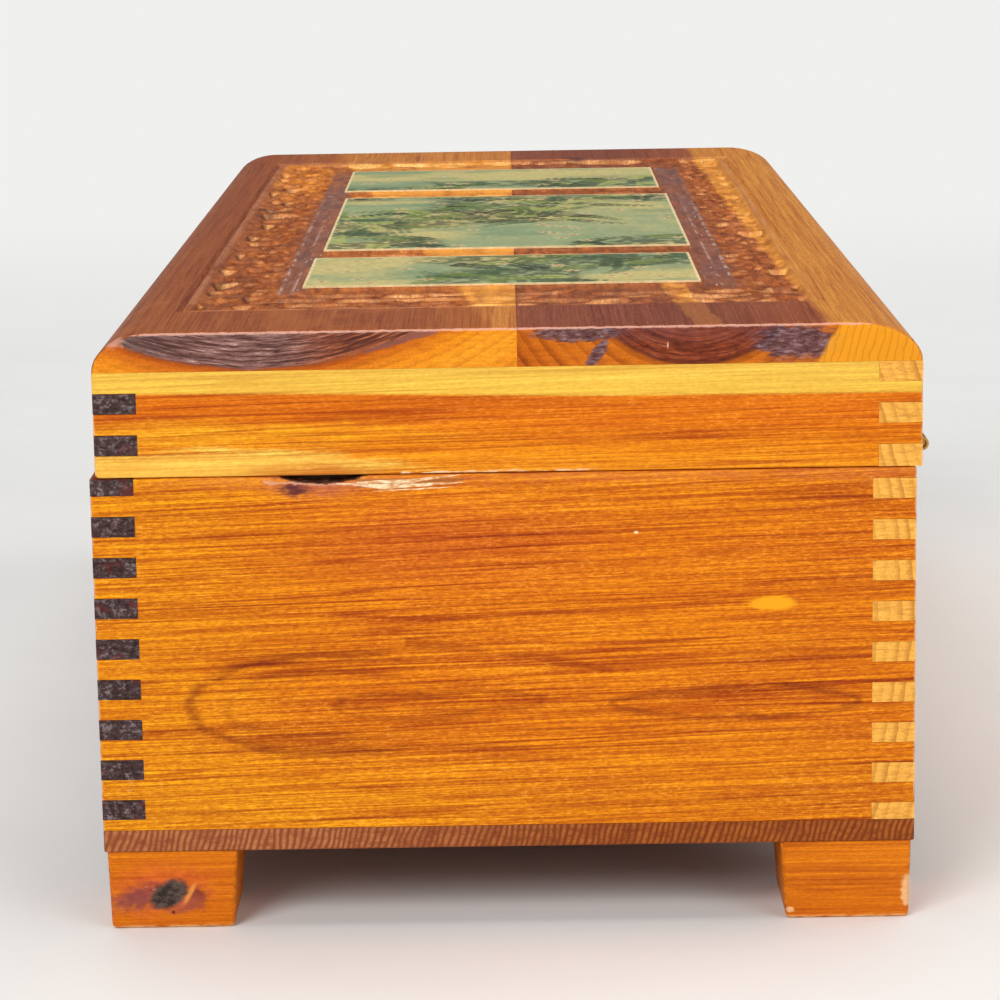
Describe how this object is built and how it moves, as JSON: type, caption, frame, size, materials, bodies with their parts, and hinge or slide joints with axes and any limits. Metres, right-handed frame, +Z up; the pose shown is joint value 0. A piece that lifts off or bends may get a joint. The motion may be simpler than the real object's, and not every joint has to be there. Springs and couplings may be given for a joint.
{
  "type": "carved wooden keepsake box",
  "caption": "Cedar keepsake box with finger-jointed corners, block feet and a carved, hinged lid with picture panels.",
  "frame": {"origin": "bottom centre of the closed box's outer bounds, hinge barrels included, on the surface that the feet stand on", "axes": "+Z up, X along the length with the right end at +X, front towards -Y, hinges and back towards +Y"},
  "size_m": [0.292, 0.1288, 0.0936],
  "materials": {
    "heartwood": "varnished dark red cedar heartwood, dark end grain",
    "sapwood": "varnished pale cedar sapwood",
    "end_cedar": "varnished orange cedar with fine streaks",
    "bottom_cedar": "varnished cedar, brown end grain",
    "foot_cedar": "varnished cedar with knots, worn corners",
    "carved_cedar": "glossy varnish over gouge-carved red cedar and yellow sapwood",
    "picture_print": "varnished printed sheet with a cream edge",
    "hinge_brass": "tarnished brass plate",
    "nail_brass": "tarnished brass, small round heads"
  },
  "bodies": {
    "base": {"base_front_board": "heartwood", "base_back_board": "sapwood", "base_left_end_board": "end_cedar", "base_right_end_board": "end_cedar", "bottom_board": "bottom_cedar", "foot_front_left": "foot_cedar", "foot_front_right": "foot_cedar", "foot_back_left": "foot_cedar", "foot_back_right": "foot_cedar", "hinge_base_leaf_left": "hinge_brass", "hinge_base_leaf_right": "hinge_brass", "hinge_pin_left": "hinge_brass", "hinge_pin_right": "hinge_brass", "base_hinge_nails": "nail_brass"},
    "lid": {"lid_front_board": "heartwood", "lid_back_board": "sapwood", "lid_left_end_board": "end_cedar", "lid_right_end_board": "end_cedar", "lid_top_front_board": "carved_cedar", "lid_top_back_board": "carved_cedar", "picture_panel_left": "picture_print", "picture_panel_middle": "picture_print", "picture_panel_right": "picture_print", "hinge_lid_leaf_left": "hinge_brass", "hinge_lid_leaf_right": "hinge_brass", "lid_hinge_nails": "nail_brass"}
  },
  "joints": [
    {"name": "lid_hinge", "type": "hinge", "parent": "base", "child": "lid", "pos_m": [0, 0.06333, 0.0717], "axis": [-1, 0, 0], "range_deg": [0, 105]}
  ]
}
